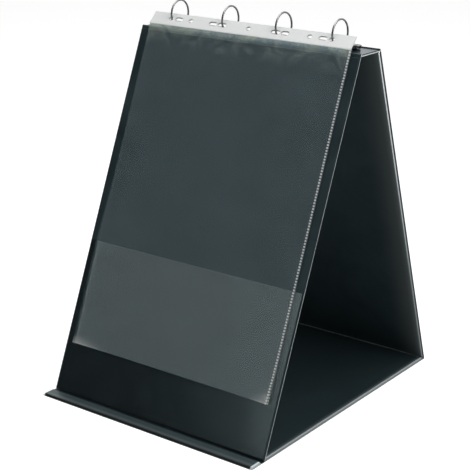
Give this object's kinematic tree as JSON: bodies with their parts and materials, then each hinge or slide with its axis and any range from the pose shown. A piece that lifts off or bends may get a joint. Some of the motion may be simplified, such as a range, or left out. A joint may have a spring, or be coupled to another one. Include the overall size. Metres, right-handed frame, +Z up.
{
  "type": "tabletop flip chart",
  "caption": "Folding tabletop flip chart: film-covered boards fold into a tent, with ring-bound clear sleeves hanging down the front.",
  "frame": {"origin": "middle of the stand's footprint, at the floor", "axes": "+X to the right as seen from the front, +Y to the back, +Z up"},
  "size_m": [0.327, 0.392, 0.4745],
  "materials": {
    "black_film": "black polypropylene film, satin",
    "grey_board": "bare grey board",
    "clear_film": "clear soft film, glossy",
    "milky_film": "milky white reinforcing film",
    "bright_steel": "bright nickel-plated steel"
  },
  "bodies": {
    "base_panel": {"base_top_film": "black_film", "base_core": "grey_board", "base_under_film": "black_film"},
    "lip": {"lip_top_film": "black_film", "lip_core": "grey_board", "lip_under_film": "black_film"},
    "back_panel": {"back_outer_film": "black_film", "back_core": "grey_board", "back_inner_film": "black_film"},
    "spine": {"spine_top_film": "black_film", "spine_core": "grey_board", "spine_under_film": "black_film", "ring_cover": "bright_steel", "left_rivet": "bright_steel", "right_rivet": "bright_steel", "left_lever_pin": "bright_steel", "right_lever_pin": "bright_steel"},
    "front_panel": {"front_face_film": "black_film", "front_core": "grey_board", "front_rear_film": "black_film", "front_pocket_film": "clear_film"},
    "front_rail": {"front_blade": "bright_steel", "front_half_ring_1": "bright_steel", "front_half_ring_2": "bright_steel", "front_half_ring_3": "bright_steel", "front_half_ring_4": "bright_steel"},
    "rear_rail": {"rear_blade": "bright_steel", "rear_half_ring_1": "bright_steel", "rear_half_ring_2": "bright_steel", "rear_half_ring_3": "bright_steel", "rear_half_ring_4": "bright_steel"},
    "left_lever": {"left_lever": "bright_steel"},
    "right_lever": {"right_lever": "bright_steel"},
    "rear_sleeve": {"rear_sleeve_strip": "milky_film", "rear_sleeve_pocket": "clear_film"},
    "front_sleeve_strip": {"front_sleeve_strip": "milky_film"},
    "front_sleeve_pocket": {"front_sleeve_pocket": "clear_film"}
  },
  "joints": [
    {"name": "lip_fold", "type": "hinge", "parent": "base_panel", "child": "lip", "pos_m": [0, -0.17736, 0.0002], "axis": [-1, 0, 0], "range_deg": [0, 110]},
    {"name": "base_fold", "type": "hinge", "parent": "base_panel", "child": "back_panel", "pos_m": [0, 0.19534, 0.0002], "axis": [-1, 0, 0], "range_deg": [0, 108]},
    {"name": "back_fold", "type": "hinge", "parent": "back_panel", "child": "spine", "pos_m": [0, 0.05296, 0.43803], "axis": [1, 0, 0], "range_deg": [-161.98, 0]},
    {"name": "front_fold", "type": "hinge", "parent": "spine", "child": "front_panel", "pos_m": [0, 0.00996, 0.43803], "axis": [1, 0, 0], "range_deg": [-157.43, 0]},
    {"name": "sleeve_swing", "type": "hinge", "parent": "spine", "child": "rear_sleeve", "pos_m": [0, 0.03245, 0.45653], "axis": [1, 0, 0], "range_deg": [-157.43, 0]},
    {"name": "page_turn", "type": "hinge", "parent": "rear_sleeve", "child": "front_sleeve_strip", "pos_m": [0, 0.03245, 0.45653], "axis": [-1, 0, 0], "range_deg": [0, 234]},
    {"name": "page_drape", "type": "hinge", "parent": "front_sleeve_strip", "child": "front_sleeve_pocket", "pos_m": [0, 0.00855, 0.44533], "axis": [-1, 0, 0], "range_deg": [0, 81.2]},
    {"name": "left_lever_turn", "type": "hinge", "parent": "spine", "child": "left_lever", "pos_m": [-0.1405, 0.03245, 0.44193], "axis": [0, -1, 0], "range_deg": [0, 36]},
    {"name": "right_lever_turn", "type": "hinge", "parent": "spine", "child": "right_lever", "pos_m": [0.1405, 0.03245, 0.44193], "axis": [0, 1, 0], "range_deg": [0, 36]},
    {"name": "front_rail_turn", "type": "hinge", "parent": "spine", "child": "front_rail", "pos_m": [0, 0.02375, 0.44153], "axis": [1, 0, 0], "range_deg": [0, 10]},
    {"name": "rear_rail_turn", "type": "hinge", "parent": "spine", "child": "rear_rail", "pos_m": [0, 0.04115, 0.44153], "axis": [-1, 0, 0], "range_deg": [0, 10]}
  ],
  "couplings": [
    {"joint": "sleeve_swing", "follows": "front_fold", "ratio": 1},
    {"joint": "page_drape", "follows": "page_turn", "ratio": 0.347},
    {"joint": "rear_rail_turn", "follows": "front_rail_turn", "ratio": 1},
    {"joint": "left_lever_turn", "follows": "front_rail_turn", "ratio": 3.6},
    {"joint": "right_lever_turn", "follows": "front_rail_turn", "ratio": 3.6}
  ]
}
